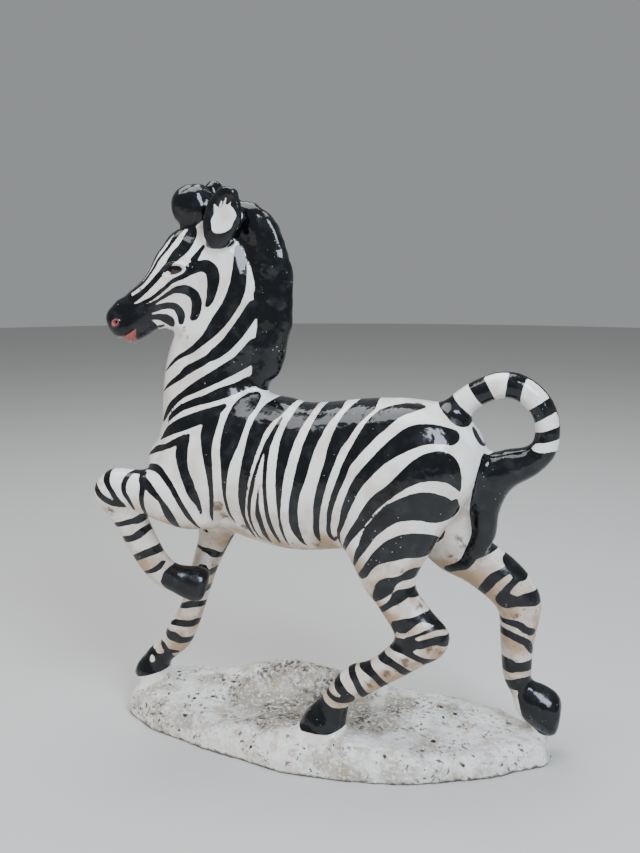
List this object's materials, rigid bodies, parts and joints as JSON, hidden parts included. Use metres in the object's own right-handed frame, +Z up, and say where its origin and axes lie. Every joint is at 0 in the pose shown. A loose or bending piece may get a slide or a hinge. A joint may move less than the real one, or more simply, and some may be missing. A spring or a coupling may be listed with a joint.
{
  "type": "animal figurine",
  "caption": "Glazed ceramic zebra striding with a foreleg raised, its tail in a ring against the rump, cast together with a low rocky mound.",
  "frame": {"origin": "middle of the whole object's box, on the flat underside of the mound", "axes": "+Z up; the zebra faces -X, its body lies along X and its left flank faces -Y"},
  "size_m": [0.3346, 0.1326, 0.4087],
  "materials": {
    "glazed_ceramic": "glossy black and white glaze on the zebra, rough off-white slip on the mound"
  },
  "bodies": {
    "root": {"zebra_on_mound": "glazed_ceramic"}
  },
  "joints": []
}
